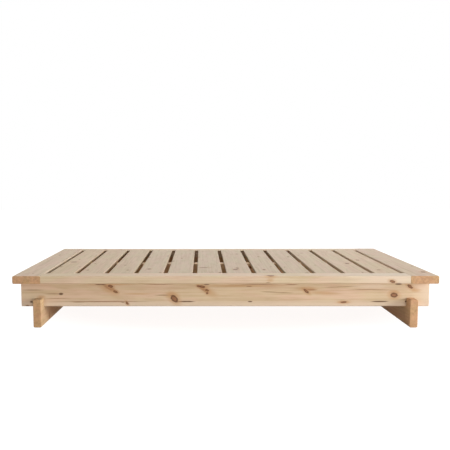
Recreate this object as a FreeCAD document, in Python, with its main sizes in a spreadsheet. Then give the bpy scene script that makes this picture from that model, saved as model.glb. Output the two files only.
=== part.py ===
"""Low slatted floor bed for a toddler, in planed softwood.

The deck is a flush panel: an end plank across each end, an edge board tenoned between them along
the front and the back, and thin slats let into rebates in the edge boards. It rests on a frame of
boards on edge, two rails and a centre beam, halved over two leg boards that stand on the floor.

Millimetres. X runs along the bed, Y from front to back and Z up. The origin is on the floor,
under the middle of the deck.
"""
import FreeCAD
import Part
import Sketcher
import os

doc = FreeCAD.newDocument("FloorBed")

# ---------------------------------------------------------------- sizes

DRIVING_SIZES = [
    ("deck_length", 1600, "outside length, to suit a mattress of 160 x 80 cm"),
    ("deck_width", 800, "front to back"),
    ("board_thickness", 30, "end planks and edge boards"),
    ("end_plank_width", 106, "the plank across each end"),
    ("edge_board_width", 95, "the board along the front and the back, with its slat seat"),
    ("slat_seat_width", 33, "rebate in the edge board that carries the slat ends"),
    ("slat_count", 12, "slats, with an equal gap on each side of every one"),
    ("slat_width", 97, "one slat, along the bed"),
    ("slat_thickness", 12, "also the depth of the slat seat"),
    ("slat_end_clearance", 0.5, "between a slat's end and the shoulder of its seat"),
    ("ground_clearance", 72, "floor to the underside of the rails"),
    ("rail_height", 95, "rails on edge under the deck"),
    ("rail_thickness", 30, "rails and centre beam"),
    ("rail_setback", 40, "deck front to rail face, and the same at the back"),
    ("rail_end_inset", 20, "deck end to the end of the rails and the beam"),
    ("leg_thickness", 30, "leg boards"),
    ("lap_overlap", 34, "height shared by a rail and a leg board, half cut from each"),
    ("lap_clearance", 0.25, "each side of a board in its halving notch"),
    ("beam_end_clearance", 0.5, "between the beam's shoulder and the end plank"),
    ("arris_radius", 5, "rounded long edges of the thick boards"),
    ("slat_arris_radius", 2.5, "rounded long edges of the slats"),
    ("end_ease", 1.5, "small bevel round the sawn ends"),
    ("tenon_length", 20, "stub tenon on each end of an edge board"),
    ("tenon_width", 40, "across the edge board"),
    ("tenon_thickness", 10, "the middle third of the board"),
    ("tenon_clearance", 0.1, "each side of a tenon in its mortise"),
    ("glue_gap", 0.5, "room past the end of a tenon or a dowel"),
    ("dowel_diameter", 8, "beech dowels between the rails and the deck"),
    ("dowel_length", 40, "beech dowels"),
    ("dowel_bite", 15, "length of a dowel in the deck board"),
    ("staple_crown", 10, "outside width of a slat staple"),
    ("staple_wire", 1.2, "thickness of its square wire"),
    ("staple_bite", 8, "length of a staple in the slat"),
    ("staple_inset", 12, "from the seat's free edge to the staples"),
    ("staple_clearance", 0.1, "each side of a staple in its slot"),
    ("leg_screw_length", 80, "under the head"),
    ("leg_screw_diameter", 6, "shank"),
    ("leg_screw_head", 11, "flat head's diameter"),
    ("leg_screw_head_height", 4, "flat head's height"),
    ("leg_screw_bore_depth", 40, "counterbore in the foot of a leg board"),
    ("leg_screw_bore_clearance", 0.5, "radial clearance round the flat head"),
    ("hole_clearance", 0.1, "radial clearance round dowels and screw shanks"),
    ("point_gap", 1, "room past the point of a staple or a screw"),
]

DERIVED_SIZES = [
    ("panel_length", "deck_length - 2 * end_plank_width"),
    ("slat_gap", "(panel_length - slat_count * slat_width) / (slat_count + 1)"),
    ("slat_pitch", "slat_width + slat_gap"),
    ("slat_row", "(slat_count - 1) * slat_pitch"),
    ("edge_top_width", "edge_board_width - slat_seat_width"),
    ("slat_length", "deck_width - 2 * edge_top_width - 2 * slat_end_clearance"),
    ("seat_thickness", "board_thickness - slat_thickness"),
    ("deck_underside", "ground_clearance + rail_height"),
    ("slat_underside", "deck_underside + seat_thickness"),
    ("rail_length", "deck_length - 2 * rail_end_inset"),
    ("rail_middle", "deck_width / 2 - rail_setback - rail_thickness / 2"),
    ("plank_middle", "(deck_length - end_plank_width) / 2"),
    ("leg_middle", "panel_length / 2 + leg_thickness / 2"),
    ("leg_height", "ground_clearance + lap_overlap"),
    ("lap_shoulder", "ground_clearance + lap_overlap / 2"),
    ("staple_line", "deck_width / 2 - edge_board_width + staple_inset"),
    ("staple_length", "seat_thickness + staple_bite"),
    ("leg_screw_tip", "leg_screw_bore_depth + leg_screw_length"),
]

sizes = doc.addObject("Spreadsheet::Sheet", "Sizes")
row = 0
for name, size, note in DRIVING_SIZES:
    row += 1
    sizes.set("A%d" % row, name)
    sizes.set("B%d" % row, str(size))
    sizes.setAlias("B%d" % row, name)
    sizes.set("C%d" % row, note)
for name, formula in DERIVED_SIZES:
    row += 1
    sizes.set("A%d" % row, name)
    sizes.set("B%d" % row, "=" + formula)
    sizes.setAlias("B%d" % row, name)
doc.recompute()


def rule(text):
    """Names of sizes, as a rule that other objects can follow."""
    words = text.split(" ")
    names = [entry[0] for entry in DRIVING_SIZES + DERIVED_SIZES]
    return " ".join("Sizes." + word if word in names else word for word in words)


def value(text):
    return float(sizes.evalExpression(rule(text)))


# ---------------------------------------------------------------- how the pieces are drawn

# The numbers that the sketcher gives to the two ends and the centre of an edge.
START, END, CENTRE = range(1, 4)


def new_piece(node, x="0", y="0", z="0", turned=False):
    """A board or a set of fasteners, put in its place on the bed."""
    piece = doc.addObject("PartDesign::Body", node)
    piece.Label = node
    if turned:
        piece.Placement = FreeCAD.Placement(
            FreeCAD.Vector(), FreeCAD.Rotation(FreeCAD.Vector(0, 0, 1), 180))
    for axis, place in (("x", x), ("y", y), ("z", z)):
        piece.setExpression("Placement.Base." + axis, rule(place))
    return piece


def datum(piece, role):
    """One of the piece's own origin planes or axes."""
    return next(item for item in piece.Origin.OriginFeatures if item.Role == role)


def new_sketch(piece, name, plane, across="0", lift="0"):
    """A sketch on an origin plane, moved sideways in it and lifted off it."""
    sketch = piece.newObject("Sketcher::SketchObject", piece.Name + "_" + name)
    sketch.AttachmentSupport = [(datum(piece, plane), "")]
    sketch.MapMode = "FlatFace"
    sketch.setExpression("AttachmentOffset.Base.x", rule(across))
    sketch.setExpression("AttachmentOffset.Base.z", rule(lift))
    return sketch


def hold_point(sketch, shape, point, x, y):
    """Two dimensions from the sketch's origin, which is the start of its shape -1."""
    for kind, place in (("DistanceX", x), ("DistanceY", y)):
        held = sketch.addConstraint(
            Sketcher.Constraint(kind, -1, START, shape, point, value(place)))
        sketch.setExpression("Constraints[%d]" % held, rule(place))


def draw_outline(sketch, corners):
    """A closed outline of straight edges through the given corners."""
    spots = [FreeCAD.Vector(value(x), value(y), 0) for x, y in corners]
    first = sketch.GeometryCount
    for number, spot in enumerate(spots):
        following = spots[(number + 1) % len(spots)]
        sketch.addGeometry(Part.LineSegment(spot, following), False)
    for number, (x, y) in enumerate(corners):
        edge = first + number
        following = first + (number + 1) % len(corners)
        sketch.addConstraint(Sketcher.Constraint("Coincident", edge, END, following, START))
        hold_point(sketch, edge, START, x, y)


def draw_rectangle(sketch, left, right, low, high):
    draw_outline(sketch, [(left, low), (right, low), (right, high), (left, high)])


def draw_circle(sketch, x, y, diameter):
    spot = FreeCAD.Vector(value(x), value(y), 0)
    circle = sketch.addGeometry(
        Part.Circle(spot, FreeCAD.Vector(0, 0, 1), value(diameter) / 2), False)
    hold_point(sketch, circle, CENTRE, x, y)
    held = sketch.addConstraint(Sketcher.Constraint("Diameter", circle, value(diameter)))
    sketch.setExpression("Constraints[%d]" % held, rule(diameter))


def extrude(piece, sketch, length, side="Symmetric"):
    """Solid of the sketched section, by default the same length to each side of the sketch."""
    solid = piece.newObject("PartDesign::Pad", sketch.Name + "_solid")
    solid.Profile = sketch
    solid.SideType = side
    solid.setExpression("Length", rule(length))
    doc.recompute()
    return solid


def cut(piece, sketch, depth, side="One side", upward=False):
    """Pocket of the sketched outline, checked to have taken wood away."""
    before = piece.Shape.Volume
    pocket = piece.newObject("PartDesign::Pocket", sketch.Name + "_cut")
    pocket.Profile = sketch
    pocket.SideType = side
    pocket.Reversed = upward
    pocket.setExpression("Length", rule(depth))
    doc.recompute()
    if not piece.Shape.Volume < before:
        raise RuntimeError(pocket.Name + " cuts nothing")
    return pocket


ALONG_BED = FreeCAD.Vector(1, 0, 0)
ACROSS_BED = FreeCAD.Vector(0, 1, 0)
NEARLY = 1e-6


def runs_along(edge, direction):
    """Whether an edge is straight and runs one way."""
    return isinstance(edge.Curve, Part.Line) and edge.Curve.Direction.isParallel(direction, NEARLY)


def round_edges(piece, radius, chosen):
    """Round the edges of the piece so far that pass the test."""
    base = piece.Tip
    edges = ["Edge%d" % number for number, edge in enumerate(base.Shape.Edges, 1) if chosen(edge)]
    rounding = piece.newObject("PartDesign::Fillet", piece.Name + "_rounding")
    rounding.Base = (base, edges)
    rounding.setExpression("Radius", rule(radius))
    doc.recompute()


def round_long_edges(piece, direction, radius="arris_radius"):
    round_edges(piece, radius, lambda edge: runs_along(edge, direction))


def ease_ends(piece, direction):
    """Bevel the edges of the two end faces of a board."""
    base = piece.Tip
    ends = ["Face%d" % number for number, face in enumerate(base.Shape.Faces, 1)
            if isinstance(face.Surface, Part.Plane)
            and face.Surface.Axis.isParallel(direction, NEARLY)]
    bevel = piece.newObject("PartDesign::Chamfer", piece.Name + "_end_bevel")
    bevel.Base = (base, ends)
    bevel.setExpression("Size", rule("end_ease"))
    doc.recompute()


def row_step(piece, name, direction, length, count):
    """Linear pattern over a length, for use alone or with other steps."""
    step = piece.newObject("PartDesign::LinearPattern", piece.Name + "_" + name)
    step.Direction = (datum(piece, direction), [""])
    step.setExpression("Length", rule(length))
    step.setExpression("Occurrences", rule(count))
    return step


def mirror_step(piece, name, plane):
    step = piece.newObject("PartDesign::Mirrored", piece.Name + "_" + name)
    step.MirrorPlane = (datum(piece, plane), [""])
    return step


def repeat(piece, name, feature, steps):
    """The feature repeated by every step in turn."""
    repeated = piece.newObject("PartDesign::MultiTransform", piece.Name + "_" + name)
    repeated.Originals = [feature]
    repeated.Transformations = steps
    piece.Tip = repeated
    doc.recompute()


def mirror(piece, name, feature, plane):
    mirrored = mirror_step(piece, name, plane)
    mirrored.Originals = [feature]
    piece.Tip = mirrored
    doc.recompute()


def turn(piece, sketch):
    """Full turn of the sketched half section about the sketch's upright axis."""
    turned = piece.newObject("PartDesign::Revolution", sketch.Name + "_turned")
    turned.Profile = sketch
    turned.ReferenceAxis = (sketch, ["V_Axis"])
    turned.Angle = 360
    doc.recompute()
    return turned


def either_side(middle, half_width):
    """The two limits of something that lies evenly about its middle."""
    return [middle + " - ( " + half_width + " )", middle + " + ( " + half_width + " )"]


def hole_width(diameter):
    return diameter + " + 2 * hole_clearance"


# ---------------------------------------------------------------- deck

def make_end_plank(node, left):
    """Plank across one end of the deck. It lies on the rails and the beam."""
    side = "-" if left else ""
    piece = new_piece(node, x=side + " plank_middle", z="deck_underside", turned=not left)
    section = new_sketch(piece, "section", "XZ_Plane")
    draw_rectangle(section, *either_side("0", "end_plank_width / 2"), "0", "board_thickness")
    extrude(piece, section, "deck_width")
    round_long_edges(piece, ACROSS_BED)
    ease_ends(piece, ACROSS_BED)

    mortise = new_sketch(piece, "mortise", "YZ_Plane", lift="end_plank_width / 2")
    draw_tenon_section(mortise, "edge_top_width / 2 - deck_width / 2", "tenon_clearance")
    mortise_cut = cut(piece, mortise, "tenon_length + glue_gap")
    mirror(piece, "mortise_back", mortise_cut, "XZ_Plane")

    rail_hole = new_sketch(piece, "rail_hole", "XY_Plane")
    draw_circle(rail_hole, "0", "- rail_middle", hole_width("dowel_diameter"))
    rail_cut = cut(piece, rail_hole, "dowel_bite + glue_gap", upward=True)
    mirror(piece, "rail_hole_back", rail_cut, "XZ_Plane")
    return piece


def draw_tenon_section(sketch, middle, clearance="0"):
    """Section of a stub tenon, or of its mortise, half way up the board."""
    draw_rectangle(sketch,
                   *either_side(middle, "tenon_width / 2 + " + clearance),
                   *either_side("board_thickness / 2", "tenon_thickness / 2 + " + clearance))


def make_edge_board(node, front):
    """Board along the front or the back, rebated along its inner edge for the slats."""
    side = "-" if front else ""
    piece = new_piece(node, y=side + " deck_width / 2", z="deck_underside", turned=not front)
    section = new_sketch(piece, "section", "YZ_Plane")
    draw_outline(section, [
        ("0", "0"), ("edge_board_width", "0"), ("edge_board_width", "seat_thickness"),
        ("edge_top_width", "seat_thickness"), ("edge_top_width", "board_thickness"),
        ("0", "board_thickness")])
    extrude(piece, section, "panel_length")
    outer_arris = value("arris_radius")
    round_edges(piece, "arris_radius", lambda edge: runs_along(edge, ALONG_BED)
                and edge.CenterOfMass.y < outer_arris)

    # The tenon is centred in the part of the board that has its full thickness.
    tenon = new_sketch(piece, "tenon", "YZ_Plane", lift="panel_length / 2")
    draw_tenon_section(tenon, "edge_top_width / 2")
    right_tenon = extrude(piece, tenon, "tenon_length", side="One side")
    mirror(piece, "left_tenon", right_tenon, "YZ_Plane")

    rail_hole = new_sketch(piece, "rail_hole", "XY_Plane")
    draw_circle(rail_hole, "0", "deck_width / 2 - rail_middle", hole_width("dowel_diameter"))
    cut(piece, rail_hole, "dowel_bite + glue_gap", upward=True)

    staple_slot = new_sketch(piece, "staple_slot", "XY_Plane", across="- slat_row / 2")
    draw_staple_slot(staple_slot, "edge_board_width - staple_inset")
    slot_cut = cut(piece, staple_slot, "seat_thickness", upward=True)
    repeat(piece, "staple_slots", slot_cut,
           [row_step(piece, "staple_row", "X_Axis", "slat_row", "slat_count")])
    return piece


def draw_staple_slot(sketch, middle):
    """Outline of the slot that a staple is driven into, seen from below."""
    draw_rectangle(sketch,
                   *either_side("0", "staple_crown / 2 + staple_clearance"),
                   *either_side(middle, "staple_wire / 2 + staple_clearance"))


def make_slat(number):
    """Thin slat across the deck, its ends on the seats and its middle on the beam."""
    piece = new_piece("slat_%02d" % number,
                      x="( %d - ( slat_count + 1 ) / 2 ) * slat_pitch" % number,
                      z="slat_underside")
    section = new_sketch(piece, "section", "XZ_Plane")
    draw_rectangle(section, *either_side("0", "slat_width / 2"), "0", "slat_thickness")
    extrude(piece, section, "slat_length")
    round_long_edges(piece, ACROSS_BED, "slat_arris_radius")
    staple_slot = new_sketch(piece, "staple_slot", "XY_Plane")
    draw_staple_slot(staple_slot, "- staple_line")
    slot_cut = cut(piece, staple_slot, "staple_bite + point_gap", upward=True)
    mirror(piece, "staple_slot_back", slot_cut, "XZ_Plane")
    return piece


# ---------------------------------------------------------------- base frame

def cut_leg_notches(piece):
    """Halving notches from below in a rail or the beam, one over each leg board."""
    notch = new_sketch(piece, "leg_notch", "XZ_Plane")
    draw_rectangle(notch, *either_side("- leg_middle", "leg_thickness / 2 + lap_clearance"),
                   "- point_gap", "lap_overlap / 2")
    notch_cut = cut(piece, notch, "2 * rail_thickness", side="Symmetric")
    mirror(piece, "leg_notch_right", notch_cut, "YZ_Plane")


def make_rail(node, front):
    """Board on edge under an edge board. Its ends stand out past the leg boards."""
    side = "-" if front else ""
    piece = new_piece(node, y=side + " rail_middle", z="ground_clearance", turned=not front)
    section = new_sketch(piece, "section", "YZ_Plane")
    draw_rectangle(section, *either_side("0", "rail_thickness / 2"), "0", "rail_height")
    extrude(piece, section, "rail_length")
    round_long_edges(piece, ALONG_BED)
    ease_ends(piece, ALONG_BED)
    cut_leg_notches(piece)

    # Pilot holes for the leg screws, up from the shoulders of the notches.
    pilot = new_sketch(piece, "leg_pilot", "XY_Plane")
    draw_circle(pilot, "- leg_middle", "0", hole_width("leg_screw_diameter"))
    pilot_cut = cut(piece, pilot, "leg_screw_tip + point_gap - ground_clearance", upward=True)
    mirror(piece, "leg_pilot_right", pilot_cut, "YZ_Plane")

    # Dowels stand in the top edge, one under each end plank and one under the edge board.
    dowel_hole = new_sketch(piece, "dowel_hole", "XY_Plane",
                            across="- plank_middle", lift="rail_height")
    draw_circle(dowel_hole, "0", "0", hole_width("dowel_diameter"))
    dowel_cut = cut(piece, dowel_hole, "dowel_length - dowel_bite + glue_gap")
    repeat(piece, "dowel_holes", dowel_cut,
           [row_step(piece, "dowel_row", "X_Axis", "2 * plank_middle", "3")])
    return piece


def make_centre_beam():
    """Middle support. It rises to the slats and is cut down at its ends for the end planks."""
    piece = new_piece("centre_beam", z="ground_clearance")
    end = "rail_length / 2"
    shoulder = "( panel_length / 2 - beam_end_clearance )"
    top = "rail_height + seat_thickness"
    profile = new_sketch(piece, "profile", "XZ_Plane")
    draw_outline(profile, [
        ("- " + end, "0"), (end, "0"), (end, "rail_height"), (shoulder, "rail_height"),
        (shoulder, top), ("- " + shoulder, top),
        ("- " + shoulder, "rail_height"), ("- " + end, "rail_height")])
    extrude(piece, profile, "rail_thickness")
    half_beam = value(end)
    round_edges(piece, "arris_radius",
                lambda edge: runs_along(edge, ALONG_BED) and edge.Length > half_beam)
    cut_leg_notches(piece)
    return piece


def make_leg_board(node, left):
    """Board on edge on the floor, notched from above for the rails and the beam."""
    side = "-" if left else ""
    piece = new_piece(node, x=side + " leg_middle", turned=not left)
    section = new_sketch(piece, "section", "XZ_Plane")
    draw_rectangle(section, *either_side("0", "leg_thickness / 2"), "0", "leg_height")
    extrude(piece, section, "deck_width")
    round_long_edges(piece, ACROSS_BED)
    ease_ends(piece, ACROSS_BED)

    for name, middle in (("front", "- rail_middle"), ("middle", "0"), ("back", "rail_middle")):
        notch = new_sketch(piece, name + "_notch", "YZ_Plane")
        draw_rectangle(notch, *either_side(middle, "rail_thickness / 2 + lap_clearance"),
                       "lap_shoulder", "leg_height + point_gap")
        cut(piece, notch, "2 * leg_thickness", side="Symmetric")

    for name, width, depth in (
            ("counterbore", "leg_screw_head + 2 * leg_screw_bore_clearance",
             "leg_screw_bore_depth"),
            ("clearance_hole", hole_width("leg_screw_diameter"), "lap_shoulder")):
        hole = new_sketch(piece, name, "XY_Plane")
        draw_circle(hole, "0", "- rail_middle", width)
        hole_cut = cut(piece, hole, depth, upward=True)
        mirror(piece, name + "_back", hole_cut, "XZ_Plane")
    return piece


# ---------------------------------------------------------------- fasteners

def make_rail_dowels():
    """Upright dowels from the rails into the deck boards that lie on them."""
    piece = new_piece("rail_dowels", z="deck_underside")
    end = new_sketch(piece, "end", "XY_Plane",
                     across="- plank_middle", lift="dowel_bite - dowel_length")
    draw_circle(end, "0", "- rail_middle", "dowel_diameter")
    dowel = extrude(piece, end, "dowel_length", side="One side")
    repeat(piece, "set", dowel, [
        row_step(piece, "row", "X_Axis", "2 * plank_middle", "3"),
        mirror_step(piece, "back", "XZ_Plane")])
    return piece


def make_slat_staples():
    """Staple up through the seat into each end of each slat, its crown flush underneath."""
    piece = new_piece("slat_staples", z="deck_underside")
    outer = "staple_crown / 2"
    inner = "( staple_crown / 2 - staple_wire )"
    bend = new_sketch(piece, "bend", "XZ_Plane", across="- slat_row / 2", lift="staple_line")
    draw_outline(bend, [
        ("- " + outer, "0"), (outer, "0"), (outer, "staple_length"), (inner, "staple_length"),
        (inner, "staple_wire"), ("- " + inner, "staple_wire"),
        ("- " + inner, "staple_length"), ("- " + outer, "staple_length")])
    staple = extrude(piece, bend, "staple_wire")
    repeat(piece, "set", staple, [
        row_step(piece, "row", "X_Axis", "slat_row", "slat_count"),
        mirror_step(piece, "back", "XZ_Plane")])
    return piece


def make_leg_screws():
    """Flat-headed screw up through the leg board into each rail."""
    piece = new_piece("leg_screws")
    head = "leg_screw_head / 2"
    shank = "leg_screw_diameter / 2"
    under_head = "leg_screw_bore_depth"
    head_end = "leg_screw_bore_depth - leg_screw_head_height"
    profile = new_sketch(piece, "profile", "XZ_Plane", across="- leg_middle", lift="rail_middle")
    draw_outline(profile, [
        ("0", head_end), (head, head_end), (head, under_head), (shank, under_head),
        (shank, "leg_screw_tip"), ("0", "leg_screw_tip")])
    screw = turn(piece, profile)
    repeat(piece, "set", screw, [
        mirror_step(piece, "back", "XZ_Plane"),
        mirror_step(piece, "right", "YZ_Plane")])
    return piece


# ---------------------------------------------------------------- the bed

pieces = [
    make_end_plank("left_end_plank", left=True),
    make_end_plank("right_end_plank", left=False),
    make_edge_board("front_edge_board", front=True),
    make_edge_board("back_edge_board", front=False),
]
pieces += [make_slat(number) for number in range(1, round(value("slat_count")) + 1)]
pieces += [
    make_rail("front_rail", front=True),
    make_rail("back_rail", front=False),
    make_centre_beam(),
    make_leg_board("left_leg_board", left=True),
    make_leg_board("right_leg_board", left=False),
    make_rail_dowels(),
    make_slat_staples(),
    make_leg_screws(),
]
doc.recompute()

for item in doc.Objects:
    if "Invalid" in item.State or "Error" in item.State:
        raise RuntimeError(item.Name + " failed: " + ", ".join(item.State))
for piece in pieces:
    if piece.Shape.isNull() or not piece.Shape.isValid():
        raise RuntimeError(piece.Label + " has no valid shape")

os.makedirs("parts", exist_ok=True)
for piece in pieces:
    piece.Shape.exportStep("parts/" + piece.Label + ".step")
    box = piece.Shape.BoundBox
    print("%-17s %2d solid(s) %8.1f cm3   X %7.1f %7.1f   Y %7.1f %7.1f   Z %6.1f %6.1f" % (
        piece.Label, len(piece.Shape.Solids), piece.Shape.Volume / 1000,
        box.XMin, box.XMax, box.YMin, box.YMax, box.ZMin, box.ZMax))
print("slat gap %.2f mm" % value("slat_gap"))
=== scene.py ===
# %% [markdown]
# # A toddler's floor bed in knotty softwood
#
# The bed is a low slatted deck on a frame of boards. Every board is already modelled at its real
# size, with its tenons, rebates and halvings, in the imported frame, so no new shape is made here.
# What is left for Blender is what the eye sees first: bare planed softwood, with its growth rings,
# fibres and knots, in the light of a plain studio.

# %% The frame
import math
import random

import bpy
from mathutils import Matrix, Vector


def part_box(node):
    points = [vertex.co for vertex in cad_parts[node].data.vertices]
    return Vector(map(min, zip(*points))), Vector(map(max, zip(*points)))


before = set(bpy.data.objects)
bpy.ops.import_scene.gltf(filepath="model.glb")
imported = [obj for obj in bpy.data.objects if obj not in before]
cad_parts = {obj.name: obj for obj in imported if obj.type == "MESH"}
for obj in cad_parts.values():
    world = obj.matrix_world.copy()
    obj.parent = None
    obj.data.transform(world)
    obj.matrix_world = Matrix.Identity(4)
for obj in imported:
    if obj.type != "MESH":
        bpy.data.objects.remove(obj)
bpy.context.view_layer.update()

scene = bpy.context.scene
scene.view_settings.view_transform = "Standard"

# %% [markdown]
# ## Camera
#
# The photograph was taken from low down in front of the bed, a little to the left of its middle,
# with the lens tipped down by about five degrees. A picture is 450 pixels square, so a focal
# length that is known in pixels becomes millimetres on Blender's 36 mm wide sensor. The deck's
# vanishing point lies left of the picture's middle, and a small lens shift puts it there.

# %% Camera
PICTURE = 450                                # pixels, each way
FOCAL_LENGTH = 563                           # pixels
VANISHING_COLUMN = 198.2                     # pixels from the left
EYE = Vector((-0.0877, -2.4827, 0.569))      # metres
TIPPED_DOWN = 0.0863                         # radians, like the next two
TURNED_LEFT = 0.0063
ROLLED = 0.0017

lens = bpy.data.cameras.new("camera")
lens.sensor_width = 36
lens.lens = lens.sensor_width * FOCAL_LENGTH / PICTURE
lens.shift_x = (PICTURE / 2 - VANISHING_COLUMN) / PICTURE
camera = bpy.data.objects.new("camera", lens)
scene.collection.objects.link(camera)
aim = (Matrix.Rotation(TURNED_LEFT, 4, "Z")
       @ Matrix.Rotation(math.pi / 2 - TIPPED_DOWN, 4, "X")
       @ Matrix.Rotation(-ROLLED, 4, "Z"))
camera.matrix_world = Matrix.Translation(EYE) @ aim
scene.camera = camera
print("lens", round(lens.lens, 2), "mm, shift", round(lens.shift_x, 4))

# %% [markdown]
# ## Shader maths
#
# A finish is a network of nodes, and its formulas are easier to read as sums. `Signal` wraps one
# output socket, and its operators add Math nodes. Every other node comes from `Network.node`: it
# takes the kind of node, its settings, and what goes into its sockets, a number or a signal. The
# white world behind the bed is a network too, and a `Finish` is one that has a material around it.

# %% A value in a network
class Signal:
    """One output socket of a network, ready for sums."""

    def __init__(self, network, socket):
        self.network = network
        self.socket = socket

    def maths(self, operation, *others):
        inputs = dict(enumerate((self,) + others))
        return self.network.node("Math", {"operation": operation}, inputs)

    def reversed_maths(self, operation, first):
        return self.network.node("Math", {"operation": operation}, {0: first, 1: self})

    def __add__(self, other):
        return self.maths("ADD", other)

    def __sub__(self, other):
        return self.maths("SUBTRACT", other)

    def __mul__(self, other):
        return self.maths("MULTIPLY", other)

    def __truediv__(self, other):
        return self.maths("DIVIDE", other)

    def __radd__(self, other):
        return self.reversed_maths("ADD", other)

    def __rsub__(self, other):
        return self.reversed_maths("SUBTRACT", other)

    def __rmul__(self, other):
        return self.reversed_maths("MULTIPLY", other)

    def __rtruediv__(self, other):
        return self.reversed_maths("DIVIDE", other)


# %% A network
class Network:
    """The nodes of a finish or of the world."""

    def __init__(self, tree):
        self.tree = tree

    def feed(self, socket, given):
        if isinstance(given, Signal):
            self.tree.links.new(given.socket, socket)
        else:
            socket.default_value = given

    def node(self, kind, settings, inputs, output=0):
        made = self.tree.nodes.new("ShaderNode" + kind)
        for name, setting in settings.items():
            if name == "stops":
                stops = made.color_ramp.elements
                while len(stops) < len(setting):
                    stops.new(1)
                for stop, (place, colour) in zip(stops, setting):
                    stop.position = place
                    stop.color = (*colour, 1)
            else:
                setattr(made, name, setting)
        for name, given in inputs.items():
            self.feed(made.inputs[name], given)
        return Signal(self, made.outputs[output])

    def split(self, vector):
        """The three parts of a vector or a colour."""
        parts = self.node("SeparateXYZ", {}, {0: vector}).socket.node
        return [Signal(self, output) for output in parts.outputs]

    def join(self, parts):
        return self.node("CombineXYZ", {}, dict(enumerate(parts)))

    def length(self, vector):
        return self.node("VectorMath", {"operation": "LENGTH"}, {0: vector}, output="Value")

    def step(self, signal, low, high, start=0.0, end=1.0):
        """Smooth change from start to end while the signal goes from low to high."""
        return self.node("MapRange", {"interpolation_type": "SMOOTHSTEP"},
                         {0: signal, 1: low, 2: high, 3: start, 4: end})

    def blend(self, share, first, second, way="MIX"):
        """Mix of two colours: the second one's share goes from 0 to 1."""
        first, second = (c if isinstance(c, Signal) else (*c, 1) for c in (first, second))
        return self.node("Mix", {"data_type": "RGBA", "blend_type": way},
                         {0: share, 6: first, 7: second}, output=2)

    def tinted(self, colour, tint):
        """A colour times a tint, part by part."""
        return self.blend(1.0, colour, tint, "MULTIPLY")


# %% A finish
class Finish(Network):
    """A material's network, with its Principled shader at hand."""

    def __init__(self, name):
        self.material = bpy.data.materials.new(name)
        self.material.use_nodes = True
        super().__init__(self.material.node_tree)
        self.shader = self.tree.nodes["Principled BSDF"]

    def set(self, **inputs):
        """Feeds the shader's sockets. Their names are written with underscores for spaces."""
        for name, given in inputs.items():
            self.feed(self.shader.inputs[name.replace("_", " ")], given)

    def put_on(self, node):
        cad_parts[node].material_slots[0].material = self.material


# %% [markdown]
# ## How a board lies in its log
#
# The grain follows the board, not the bed, so each finish needs to know how its board lies: which
# way its length, its width and its thickness run. Noise that is stretched along the board and
# fine across it already looks like wood, and every layer below uses it.

# %% Lay of a board
LYING = {"long": "X", "across": "Y", "thick": "Z"}
ON_EDGE = {"long": "X", "across": "Z", "thick": "Y"}
LYING_ACROSS = {"long": "Y", "across": "X", "thick": "Z"}
ON_EDGE_ACROSS = {"long": "Y", "across": "Z", "thick": "X"}
MILLIMETRES = 1000.0                         # in a metre


def in_axes(lay, **sizes):
    """Sizes along, across and through a board, put in the order X, Y, Z."""
    return [sizes[way] for axis in "XYZ" for way in lay if lay[way] == axis]


def corners(node):
    """The lowest and the highest corner of a piece, in millimetres."""
    return [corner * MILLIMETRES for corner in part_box(node)]


def place_in_bed(finish):
    """A point's place in the bed, in millimetres."""
    place = finish.node("TexCoord", {}, {}, output="Object")
    return finish.node("VectorMath", {"operation": "SCALE"}, {0: place, "Scale": MILLIMETRES})


def place_in_board(finish, point, node, lay):
    """A point's place along, across and through its board, in millimetres from the middle."""
    low, high = corners(node)
    middle = (low + high) / 2
    parts = finish.split(point)
    axes = ["XYZ".index(lay[way]) for way in ("long", "across", "thick")]
    return [parts[axis] - middle[axis] for axis in axes]


def stretched_noise(finish, place, sizes, detail=2.0, output=0):
    """Noise whose patches have the given size on each axis of the place."""
    scaled = finish.join([part / size for part, size in zip(place, sizes)])
    return finish.node("TexNoise", {}, {"Vector": scaled, "Scale": 1.0, "Detail": detail}, output)


# %% [markdown]
# ## Growth rings
#
# A plank is cut out of a log, so its pattern is solid: the rings run round the pith, which passes
# somewhere beside the board. Where a face lies flat to the rings they are wide flames, where it
# cuts them squarely they are narrow stripes, and the sawn end shows them as arcs. All three come
# by themselves when the colour is worked out from a point's distance to the pith. Slow noise makes
# the pith wander, as in a tree.

# %% Growth rings
RING_GREYS = ((0.0, 0.1), (0.4, 0.15), (0.85, 0.85), (0.96, 1.0), (1.0, 0.1))
RING_STOPS = [(place, (grey, grey, grey)) for place, grey in RING_GREYS]
TAPER = 0.012                                # of the trunk: millimetres for each along it
WANDER = 26.0                                # millimetres, of the pith
WANDER_PATCH = (420, 160, 160)               # millimetres, along, across and through


def growth_rings(finish, place, pith, ring_width, push):
    """From 0 in a year's pale early wood to 1 in its dark late wood."""
    along, across, through = place
    shifts = finish.split(stretched_noise(finish, place, WANDER_PATCH, output=1))
    radius = finish.length(finish.join([across - pith[0] + (shifts[0] - 0.5) * WANDER,
                                        through - pith[1] + (shifts[1] - 0.5) * WANDER]))
    years = (radius + along * TAPER + push) / ring_width
    return finish.node("ValToRGB", {"stops": RING_STOPS}, {0: years.maths("FRACT")})


# %% [markdown]
# ## Spots in the wood
#
# A knot is a branch that the saw cut through, and stains, streaks and cracks lie in the wood near
# it. They could be painted in an image, but an ellipsoid is enough for each: the distance to its
# middle, measured in its own half sizes, is 1 at its rim, and noise on the point that is measured
# keeps the rim from being perfect. Streaks and cracks are very flat ones. So a spot is a place, its
# half sizes on X, Y and Z, and a turn. A knot that is drawn by lot goes right through its board,
# while what the photograph shows on one face lies only a little way under it.

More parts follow.
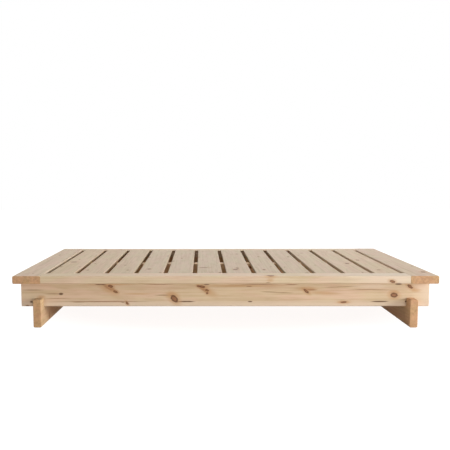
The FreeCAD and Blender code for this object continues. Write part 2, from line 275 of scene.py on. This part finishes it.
# %% Spots
UNTURNED = (0, 0, 0)
THROUGH_BOARD = 400.0                        # millimetres, half length of a knot through a board
SURFACE_DEPTH = 14.0                         # millimetres, half depth of a spot on one face
KNOT_HALF_WIDTH = (2.0, 5.5)                 # millimetres, least and most
KNOT_STRETCH = (1.0, 1.9)                    # along the grain, least and most


def on_front(y, marks):
    """Spots on a face at y. Marks: x, z, half length, half height, tilt."""
    return [((x, y, z), (length, SURFACE_DEPTH, height), (0, -math.radians(tilt), 0))
            for x, z, length, height, tilt in marks]


def on_top(z, marks, under=SURFACE_DEPTH):
    """Spots on a face at z. Marks: x, y, half length, half depth, tilt."""
    return [((x, y, z), (length, depth, under), (0, 0, math.radians(tilt)))
            for x, y, length, depth, tilt in marks]


def on_side(x, marks):
    """Spots on a face at x. Marks: y, z, half depth, half height."""
    return [((x, y, z), (SURFACE_DEPTH, depth, height), UNTURNED)
            for y, z, depth, height in marks]


def through_knots(node, lay, number):
    """Knots right through a board, at places drawn by lot."""
    chance = random.Random("knots of " + node)
    low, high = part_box(node)
    spots = []
    for _ in range(number):
        place = [chance.uniform(start, end) * MILLIMETRES for start, end in zip(low, high)]
        half = chance.uniform(*KNOT_HALF_WIDTH)
        sizes = in_axes(lay, long=half * chance.uniform(*KNOT_STRETCH), across=half,
                        thick=THROUGH_BOARD)
        spots.append((place, sizes, UNTURNED))
    return spots


# %% Distance to a spot
UNEVEN_PATCH = {"long": 18, "across": 3, "thick": 3}    # millimetres, like the next two
LOOSE = {"long": 11, "across": 4}
CLOSE = {"long": 4, "across": 1.4}


def nearest(finish, point, spots):
    """Distance to the nearest spot, in its own half sizes: 1 at its rim."""
    nearest_one = None
    for place, sizes, turn in spots:
        local = finish.node("Mapping", {"vector_type": "TEXTURE"}, {
            "Vector": point, "Location": place, "Rotation": turn, "Scale": sizes})
        distance = finish.length(local)
        nearest_one = nearest_one.maths("MINIMUM", distance) if nearest_one else distance
    return nearest_one


def uneven(finish, point, lay, long, across):
    """The point, pushed about by up to half the given millimetres, more so along the fibres."""
    noise = stretched_noise(finish, finish.split(point), in_axes(lay, **UNEVEN_PATCH), output=1)
    centred = finish.node("VectorMath", {"operation": "SUBTRACT"}, {0: noise, 1: (0.5, 0.5, 0.5)})
    reach = in_axes(lay, long=long, across=across, thick=across)
    return finish.node("VectorMath", {"operation": "MULTIPLY_ADD"},
                       {0: centred, 1: reach, 2: point})


# %% [markdown]
# ## Clear wood
#
# Between its knots the wood is a mix of two colours: pale early wood and darker late wood. The
# rings say how much there is of the darker one, and three kinds of noise add to that or take from
# it: fine fibres, long streaks and short patches. A slow drift of the hue between pink and yellow
# keeps a long board from looking painted.

# %% Clear wood
EARLYWOOD = (0.67, 0.505, 0.355)
LATEWOOD = (0.50, 0.335, 0.20)
PINKER = (1.03, 0.985, 0.985)
YELLOWER = (0.98, 1.0, 0.93)
FIBRES = (60, 1.0, 1.0)                      # millimetres along, across and through, like the next
STREAKS = (330, 6, 6)
PATCHES = (80, 14, 14)
HUES = (150, 35, 35)
HUE_TURNS = (0.35, 0.65)                     # noise at which the wood is all pink or all yellow
RINGS_SHOW = 0.42                            # how much of the darker colour the layers bring
FIBRES_SHOW = 0.6
STREAKS_SHOW = 1.5
PATCHES_SHOW = 1.1
DARKER_EVERYWHERE = 0.06


def clear_wood(finish, place, late, fibre):
    streak = stretched_noise(finish, place, STREAKS)
    patch = stretched_noise(finish, place, PATCHES, detail=3.0)
    share = (late * RINGS_SHOW + (fibre - 0.5) * FIBRES_SHOW + (streak - 0.5) * STREAKS_SHOW
             + (patch - 0.5) * PATCHES_SHOW + DARKER_EVERYWHERE)
    hue = stretched_noise(finish, place, HUES, detail=1.0)
    drift = finish.blend(finish.step(hue, *HUE_TURNS), PINKER, YELLOWER)
    return finish.tinted(finish.blend(share, EARLYWOOD, LATEWOOD), drift)


# %% [markdown]
# ## Marks and knots
#
# Five kinds of marks are enough for this wood: pale sapwood from the outside of the log, stains of
# resin, branches that the saw laid open along their length, thin dark streaks, and cracks. The
# sixth is painted shade in the seat for the slats, where the gaps end. Some marks of the other
# kinds are painted light or shade too, as said where they are placed. Each kind has its colour,
# the share of it in the middle of a spot, and the two distances between which it fades. Thin kinds
# and the painted shade in the seat keep close to their places, the others are pushed about more.
#
# A knot is hard brown wood with rings of its own and a dark rim, and it stains the wood round it.
# A ramp over the distance to its middle gives the first, and a wider fade the second. The grain
# bends round a knot, so the same distance also pushes the growth rings away.

# %% Marks and knots
RESIN = (0.52, 0.29, 0.135)
KINDS_OF_MARK = {
    "sapwood": dict(thin=False, fades=(0.2, 1.2), most=0.8, colour=(0.73, 0.585, 0.445)),
    "stain": dict(thin=False, fades=(0.1, 1.3), most=0.62, colour=RESIN),
    "branch": dict(thin=False, fades=(0.5, 1.3), most=0.8, colour=(0.37, 0.18, 0.08)),
    "streak": dict(thin=True, fades=(0.4, 1.3), most=0.75, colour=(0.27, 0.135, 0.06)),
    "crack": dict(thin=True, fades=(0.6, 1.2), most=0.9, colour=(0.10, 0.042, 0.015)),
    # painted shade: the seat stays dark where the gaps end
    "seat": dict(thin=True, fades=(0.7, 1.1), most=0.85, colour=(0.17, 0.085, 0.04))}
KNOT_STOPS = [(0.0, (0.20, 0.08, 0.032)), (0.25, (0.32, 0.15, 0.065)),
              (0.45, (0.22, 0.09, 0.038)), (0.6, (0.28, 0.125, 0.054)),
              (0.78, (0.09, 0.034, 0.015)), (1.0, (0.15, 0.062, 0.027))]
KNOT_WOOD = (0.9, 1.25, 0.95, 0.0)           # fades between two distances, from and to a share
KNOT_STAIN = (1.0, 2.8, 0.6, 0.0)
RINGS_PUSHED = (1.0, 3.5, 8.0, 0.0)          # the same, in millimetres instead of shares


def with_marks(finish, colour, marks, loose, close):
    """The wood with its marks, laid on in the order in which their kinds are given."""
    for name, spots in marks.items():
        kind = KINDS_OF_MARK[name]
        distance = nearest(finish, close if kind["thin"] else loose, spots)
        share = finish.step(distance, *kind["fades"], kind["most"], 0.0)
        colour = finish.blend(share, colour, kind["colour"])
    return colour


def with_knots(finish, colour, distance):
    stained = finish.blend(finish.step(distance, *KNOT_STAIN), colour, RESIN)
    inside = finish.node("ValToRGB", {"stops": KNOT_STOPS}, {0: distance})
    return finish.blend(finish.step(distance, *KNOT_WOOD), stained, inside)


# %% [markdown]
# ## Softwood
#
# Each board gets a finish of its own, because no two boards come from the same log. Its numbers
# are drawn by lot from its name, so that they are the same on every run. The layers go on as they
# lie in the wood: rings and fibres, then marks and knots, then the tint of the board. The sawn ends
# come last. Their open pores drink light, so they are darker and more orange, and the tint leaves
# them out. The fibres stand up a little, which a faint bump shows where light grazes a face.

# %% Sawn ends
SAWN_END = (0.87, 0.712, 0.56)
SAWN_END_DARKER = tuple(0.84 * part for part in SAWN_END)
END_DEPTH = 1.4                              # millimetres, from the end
END_PATCHES = (500, 9, 9)                    # millimetres along, across and through
END_MOTTLE = (0.3, 0.7)                      # noise at which an end is all light or all dark


def with_sawn_ends(finish, colour, tint, place, from_end):
    """The tinted wood, and at its ends the same wood darker instead."""
    mottle = stretched_noise(finish, place, END_PATCHES)
    darker = finish.blend(finish.step(mottle, *END_MOTTLE), SAWN_END, SAWN_END_DARKER)
    sawn = finish.step(from_end, END_DEPTH * 0.7, END_DEPTH, 1.0, 0.0)
    return finish.blend(sawn, finish.tinted(colour, tint), finish.tinted(colour, darker))


# %% Softwood
RING_WIDTH = (2.6, 3.8)                      # millimetres, least and most
PITH_ACROSS = (-40, 40)                      # millimetres from the board's middle, least and most
PITH_BESIDE = (35, 75)                       # and above or below it
FIRST_METRES = (0, 5000)                     # millimetres up the trunk, least and most
EARLYWOOD_ROUGHNESS = 0.56
LATEWOOD_SMOOTHER = 0.08
MIRRORS = 0.3                                # Specular IOR Level: less than varnished wood
BUMP_STRENGTH = 0.12
BUMP_DISTANCE = 0.0004                       # metres
RINGS_RAISED = 0.4                           # share of the bump, like the next
FIBRES_RAISED = 0.6


def softwood(node, lay, tint, knots, marks, pith=None):
    """Puts a finish of its own on a board. What isn't given is drawn by lot from its name."""
    chance = random.Random(node)
    finish = Finish("softwood_" + node)
    point = place_in_bed(finish)
    place = place_in_board(finish, point, node, lay)
    low, high = corners(node)
    half_length = (high - low)["XYZ".index(lay["long"])] / 2
    from_end = half_length - place[0].maths("ABSOLUTE")
    place[0] = place[0] + chance.uniform(*FIRST_METRES)
    if pith is None:
        pith = (chance.uniform(*PITH_ACROSS), chance.choice((-1, 1)) * chance.uniform(*PITH_BESIDE))

    loose = uneven(finish, point, lay, **LOOSE)
    close = uneven(finish, point, lay, **CLOSE)
    knot = nearest(finish, loose, knots)
    push = finish.step(knot, *RINGS_PUSHED)
    late = growth_rings(finish, place, pith, chance.uniform(*RING_WIDTH), push)
    fibre = stretched_noise(finish, place, FIBRES, detail=3.0)

    colour = clear_wood(finish, place, late, fibre)
    colour = with_marks(finish, colour, marks, loose, close)
    colour = with_knots(finish, colour, knot)
    colour = with_sawn_ends(finish, colour, tint, place, from_end)
    bump = finish.node("Bump", {}, {"Strength": BUMP_STRENGTH, "Distance": BUMP_DISTANCE,
                                    "Height": late * RINGS_RAISED + fibre * FIBRES_RAISED})
    finish.set(Base_Color=colour, Roughness=EARLYWOOD_ROUGHNESS - late * LATEWOOD_SMOOTHER,
               Normal=bump, Specular_IOR_Level=MIRRORS)
    finish.put_on(node)


# %% [markdown]
# ## Front rail
#
# The photograph shows the front rail well enough to place its knots, branches, streaks and cracks
# one by one, in millimetres from the bed's middle and from the floor. Some of these marks are
# painted light or shade, as said where they are listed. Tilts are in degrees, and rise to the
# right. The board was sawn with its pith far below it, so its grain is nearly straight.

# %% Front rail
RAIL_LOW = corners("front_rail")[0]
RAIL_KNOTS = on_front(RAIL_LOW.y, [
    (-757, 74, 5, 3, 0), (-437, 151, 9, 4.5, -15), (-418, 129, 8, 4, -25), (-374, 85, 7, 4, -55),
    (-193, 102, 16, 10, -45), (-101, 151, 5, 4, 0), (-86, 149, 11, 4.5, -10), (-68, 135, 6, 4, -30),
    (-67, 124, 4, 3.5, 0), (311, 131, 11, 4.5, -38), (454, 89, 11, 3, 0), (646, 116, 13, 8.5, -5),
    (706, 149, 11, 5, -35)])
RAIL_MARKS_AND_PAINTED_LIGHT = {
    # Sapwood: the first mark makes the rail paler along its bottom edge; the one at 800 is painted
    # light on the rail's right end.
    "sapwood": [(0, RAIL_LOW.z, 3000, 24, 0), (800, 120, 90, 60, 0), (560, 150, 90, 10, 0)],
    "stain": [
        (-445, 138, 50, 18, -30), (-205, 118, 34, 13, 0), (-62, 130, 46, 18, -30),
        (315, 141, 50, 10, 0), (375, 124, 70, 8, -3), (454, 88, 34, 8, 0), (646, 128, 20, 9, 0),
        # The stain at -703 is partly resin and partly painted shade where the rail meets the leg's
        # top. Those 152 and 158 mm high are partly resin and partly painted shade under the edge
        # board.
        (728, 134, 22, 10, 0), (-703, 110, 18, 7, 0), (-440, 158, 110, 5, 0),
        (60, 152, 190, 6, 0), (-330, 121, 70, 4, 0)],
    "branch": [(-437, 142, 33, 7.5, -28), (-84, 140, 28, 6, -33), (325, 137, 26, 4, 0)],
    # Streaks and cracks 157 or 158 mm high are partly dark wood and partly painted shade: the dark
    # line under the edge board.
    "streak": [
        (-465, 91, 175, 2.4, 0), (-560, 90, 34, 2.8, 0), (-658, 121, 40, 2.0, 0),
        (-735, 136, 46, 1.8, 0), (-240, 116, 30, 2.2, 0), (-394, 89, 12, 2.4, -15),
        (175, 128, 38, 1.9, -2), (93, 150, 12, 2.0, 0), (228, 125, 34, 1.7, -1),
        (560, 137, 90, 1.5, -1), (440, 148, 70, 1.4, 2), (-250, 158, 60, 1.5, 0),
        (-640, 104, 50, 1.2, 0), (135, 158, 76, 1.8, 0), (255, 157, 28, 1.8, 0)],
    "crack": [
        (-627, 121, 9, 5, 0), (-741, 90, 8, 3.5, 0), (-474, 157, 22, 1.8, 0),
        (-150, 91, 38, 2.6, 0), (-70, 157, 12, 1.8, 0), (97, 91, 9, 2.6, 0),
        (592, 91, 34, 2.8, 0), (662, 158, 14, 2.6, 0), (692, 91, 5, 4, 0)]}
FRAME_TINT = (1.0, 1.01, 1.02)
PITH_BELOW = (-190, 60)                      # millimetres across and through the board
softwood("front_rail", ON_EDGE, FRAME_TINT, RAIL_KNOTS,
         {kind: on_front(RAIL_LOW.y, marks) for kind, marks in RAIL_MARKS_AND_PAINTED_LIGHT.items()}, PITH_BELOW)
print("front rail:", len(RAIL_KNOTS), "knots and", sum(map(len, RAIL_MARKS_AND_PAINTED_LIGHT.values())), "marks")

# %% [markdown]
# ## Edge boards
#
# The front edge board is seen as well as the rail under it, but it is clearer wood. It is paler
# towards its right end, which is painted light. Of the back one only a thin strip shows, and its
# knots are drawn by lot. Both have a rebate for the slats, with painted shade in it, so that it
# stays dark where the gaps end.

# %% Edge boards
EDGE_LOW, EDGE_HIGH = corners("front_edge_board")
DECK_TOP = EDGE_HIGH.z
SLAT_LOW = corners("slat_01")[0]
SEAT_MIDDLE = (EDGE_HIGH.y + SLAT_LOW.y) / 2    # between its free edge and its shoulder
SEAT_SHADE_HALF_SIZES = (5000, 26, 9)
ABOVE_SEAT = 2                               # millimetres, so that the painted shade reaches the shoulder as well
EDGE_TINT = (1.03, 1.08, 1.125)
EDGE_PITH = (-120, -150)                     # millimetres across and through the board
EDGE_KNOTS = (on_front(EDGE_LOW.y, [(625, 176, 9, 5, -15)])
              + on_top(DECK_TOP, [(170, -391, 13, 8, 0)], under=6))
# Painted light: the front edge board is paler towards its right end.
RIGHT_END_PAINTED_LIGHT = ((740, -360, 190), (420, 80, 60), UNTURNED)


# The painted shade in a seat: a flat dark spot along the rebate.
def seat(y):
    return [((0, y, SLAT_LOW.z + ABOVE_SEAT), SEAT_SHADE_HALF_SIZES, UNTURNED)]


EDGE_MARKS = {
    "stain": on_front(EDGE_LOW.y, [(168, 181, 16, 9, 0)]),
    "streak": on_front(EDGE_LOW.y, [(160, 172, 9, 1.4, 0)]),
    "crack": on_front(EDGE_LOW.y, [(648, 169, 13, 3, 0)]),
    "sapwood": [RIGHT_END_PAINTED_LIGHT], "seat": seat(SEAT_MIDDLE)}
softwood("front_edge_board", LYING, EDGE_TINT, EDGE_KNOTS, EDGE_MARKS, EDGE_PITH)
softwood("back_edge_board", LYING, EDGE_TINT, through_knots("back_edge_board", LYING, 5),
         {"seat": seat(-SEAT_MIDDLE)})
print("slat seats", round(abs(SEAT_MIDDLE)), "mm in front of the bed's middle and behind it")

# %% [markdown]
# ## Deck
#
# The end planks and the slats are seen at a glancing angle, so only their plainest knots are placed
# as in the photograph, and each board has three more that are drawn by lot. The slats are greyer
# than the planks. Towards both ends of the deck they are painted lighter, by a shade that grows
# with the square of the distance from the middle: painted light that evens out the lamps' light
# across the deck.

# %% Deck
PLANK_TINT = (0.985, 1.02, 1.1)
SLAT_TINT = (0.835, 0.86, 0.87)
MIDDLE_SHADE = 0.955                         # of a slat in the middle of the deck
PAINTED_LIGHT_OUTWARD = 0.53                       # painted light, times the square of its distance in metres
KNOTS_BY_LOT = 3
DECK_KNOTS = {
    "slat_01": [(-646, -50, 12, 8, 0)], "slat_04": [(-300, -238, 6, 9, 0)],
    "slat_06": [(-80, -202, 15, 5, 0)], "slat_07": [(47, -252, 8, 12, 0)],
    "slat_08": [(161, -257, 5, 9, 0)], "slat_11": [(533, -96, 7, 12, 0)],
    "right_end_plank": [(772, -314, 8, 10, 0)]}
SLATS = sorted(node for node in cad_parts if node.startswith("slat_") and node[5:].isdigit())


def slat_tint(node):
    low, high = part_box(node)
    shade = MIDDLE_SHADE + PAINTED_LIGHT_OUTWARD * ((low.x + high.x) / 2) ** 2
    return [shade * part for part in SLAT_TINT]


deck_tints = {"left_end_plank": PLANK_TINT, "right_end_plank": PLANK_TINT}
deck_tints.update((node, slat_tint(node)) for node in SLATS)
for node, tint in deck_tints.items():
    by_lot = through_knots(node, LYING_ACROSS, KNOTS_BY_LOT)
    placed = on_top(DECK_TOP, DECK_KNOTS.get(node, []))
    softwood(node, LYING_ACROSS, tint, by_lot + placed, {})
print("slats:", len(SLATS), "and end planks:", len(deck_tints) - len(SLATS))

# %% [markdown]
# ## Under the deck
#
# The back rail, the beam and the legs are seen only in part, and mostly in shade, where the
# photograph is redder than wood in the open, so their tints are warm: the painted colour of shade.
# Their knots are drawn by lot. The beam's tint is lighter and its top is pale, painted light that
# shows as a light strip through the gaps. The left leg has painted shade inside, a wide brown
# patch laid on as a branch mark, and a small branch ends near the floor.

# %% Under the deck
BEAM_TOP = corners("centre_beam")[1].z
LEG_INSIDE = corners("left_leg_board")[1].x
# The large patch is painted shade inside the left leg; the small one is a branch near the floor.
LEFT_LEG_SHADE_AND_BRANCH = {"branch": on_side(LEG_INSIDE, [(-170, 50, 150, 60), (-283, 18, 14, 22)])}
# Painted light: the beam's top is pale, so that it shows lit through the gaps.
BEAM_TOP_PAINTED_LIGHT = {"sapwood": [((0, 0, BEAM_TOP), (3000, 60, 9), UNTURNED)]}
UNDER_DECK = {                               # how it lies, tint, number of knots, marks
    # Warm tints are the painted colour of shade; the beam's lighter tint is painted light.
    "back_rail": (ON_EDGE, (1.07, 0.95, 0.8), 8, {}),
    "centre_beam": (ON_EDGE, (1.22, 1.12, 0.96), 8, BEAM_TOP_PAINTED_LIGHT),
    "left_leg_board": (ON_EDGE_ACROSS, (0.93, 0.86, 0.75), 4, LEFT_LEG_SHADE_AND_BRANCH),
    "right_leg_board": (ON_EDGE_ACROSS, (1.0, 0.86, 0.72), 4, {})}
for node, (lay, tint, number, marks) in UNDER_DECK.items():
    softwood(node, lay, tint, through_knots(node, lay, number), marks)
print("boards under the deck, with the front rail:", len(UNDER_DECK) + 1)

# %% [markdown]
# ## Fittings
#
# Dowels, staples and screws are inside the wood, and only the ends of some can be seen from below.
# Each finish is a plain colour that slow noise makes a little darker and duller in places, as
# handling does.

# %% Fittings
WEAR_SCALE = 0.4                             # patches of noise in a millimetre


def fitting(node, colour, metallic, roughness):
    finish = Finish("fitting_" + node)
    worn = finish.node("TexNoise", {}, {"Vector": place_in_bed(finish), "Scale": WEAR_SCALE,
                                        "Detail": 2.0})
    darker = [0.8 * part for part in colour]
    finish.set(Base_Color=finish.blend(worn, colour, darker), Metallic=metallic,
               Roughness=roughness + worn * 0.15)
    finish.put_on(node)
    print("dressed", node)


fitting("rail_dowels", (0.64, 0.45, 0.28), 0.0, 0.5)
fitting("slat_staples", (0.62, 0.63, 0.65), 1.0, 0.35)
fitting("leg_screws", (0.70, 0.69, 0.64), 1.0, 0.3)

# %% [markdown]
# ## Floor
#
# In the photograph the floor is white paper that runs out into a white background. Light on it
# could make it white, but then the bed would be too bright. So it glows by itself, only to rays
# that come from the camera, through something clear, or more weakly from a mirroring surface. Under
# the bed the glow is a little dimmer and warm, as in the photograph: painted shade with the warm
# light that the wood throws down. Further out it is past white, so that no horizon shows. What the
# floor keeps of the real light is the bed's faint shadow.

# %% Floor
FLOOR_SIZE = 14                              # metres each way
PAPER = (0.7, 0.62, 0.54, 1)
# painted shade and warm bounce light under the bed
UNDER_BED_SHADE_GLOW = (1.12, 1.08, 1.062)
OPEN_GLOW = (1.25, 1.25, 1.25)
UNDER_BED = [((0, 0, 0), (900, 520, 520), UNTURNED)]
WARM_FADES = (0.7, 1.3)                      # between these distances, in the half sizes above
GLOW_SEEN = 0.86                             # share of the glow that the camera sees
GLOW_MIRRORED = 0.15                         # and that a glossy board mirrors


def kinds_of_ray(network):
    """Signals that are 1 for rays seen, mirrored and passed through something clear."""
    rays = network.node("LightPath", {}, {}).socket.node
    return [Signal(network, rays.outputs[f"Is {kind} Ray"])
            for kind in ("Camera", "Glossy", "Transmission")]


bpy.ops.mesh.primitive_plane_add(size=FLOOR_SIZE)
floor = bpy.context.object
floor.name = "floor"
paper = Finish("paper")
paper.set(Base_Color=PAPER, Roughness=0.9)
distance = nearest(paper, place_in_bed(paper), UNDER_BED)
glow_colour = paper.blend(paper.step(distance, *WARM_FADES), UNDER_BED_SHADE_GLOW, OPEN_GLOW)
glow = paper.node("Emission", {}, {"Color": glow_colour, "Strength": 1.0})
seen, mirrored, passed = kinds_of_ray(paper)
share = (seen.maths("MAXIMUM", passed) * GLOW_SEEN).maths("MAXIMUM", mirrored * GLOW_MIRRORED)
lit = Signal(paper, paper.shader.outputs[0])
mixed = paper.node("MixShader", {}, {0: share, 1: lit, 2: glow})
paper.feed(paper.tree.nodes["Material Output"].inputs["Surface"], mixed)
floor.data.materials.append(paper.material)
print("floor:", FLOOR_SIZE, "m each way")

# %% [markdown]
# ## World
#
# The world is the white background above the floor's edge. A strength of 1 is white, and the same
# kinds of rays see it so. To all others, which carry its light to the bed, it is a weak grey that
# only lifts the shadows.

# %% World
SKY = 0.2                                    # strength of its light on the bed
world = bpy.data.worlds.new("studio")
world.use_nodes = True
scene.world = world
sky = Network(world.node_tree)
seen, mirrored, passed = kinds_of_ray(sky)
strength = seen.maths("MAXIMUM", mirrored).maths("MAXIMUM", passed).maths("MAXIMUM", SKY)
background = sky.tree.nodes["Background"]
sky.feed(background.inputs["Color"], (1, 1, 1, 1))
sky.feed(background.inputs["Strength"], strength)
print("sky:", SKY)

# %% [markdown]
# ## Lamps
#
# The photograph's light comes from the right: the right end of the bed is the brightest. It is also
# low, because the fronts of the boards are as bright as their tops, while the gaps and the inside
# of the right leg stay dark. So the strongest lamp stands low beyond the right end, two small ones
# stand low in front, and two large ones add a little from above and from behind. All are area
# lamps, whose shadows have soft edges.

# %% Lamps
MIDDLE_OF_BED = Vector((0, 0, 0.1))


def soft_lamp(name, place, width, power, target=MIDDLE_OF_BED):
    light = bpy.data.lights.new(name, "AREA")
    light.size = width
    light.energy = power
    lamp = bpy.data.objects.new(name, light)
    lamp.location = place
    beam = Vector(target) - Vector(place)
    lamp.rotation_euler = beam.to_track_quat("-Z", "Y").to_euler()
    scene.collection.objects.link(lamp)
    print(name, power, "W at", round(beam.length, 1), "m")


soft_lamp("side_lamp", (4.5, -1.6, 1.0), 2.0, 230)
soft_lamp("right_front_lamp", (1.5, -4.7, 0.5), 0.9, 48)
soft_lamp("left_front_lamp", (-1.7, -4.6, 0.5), 0.9, 24)
soft_lamp("top_lamp", (-0.35, 0.1, 3.0), 2.0, 34, target=(-0.35, 0.1, 0.1))
soft_lamp("back_lamp", (0.4, 3.4, 1.8), 2.5, 15)
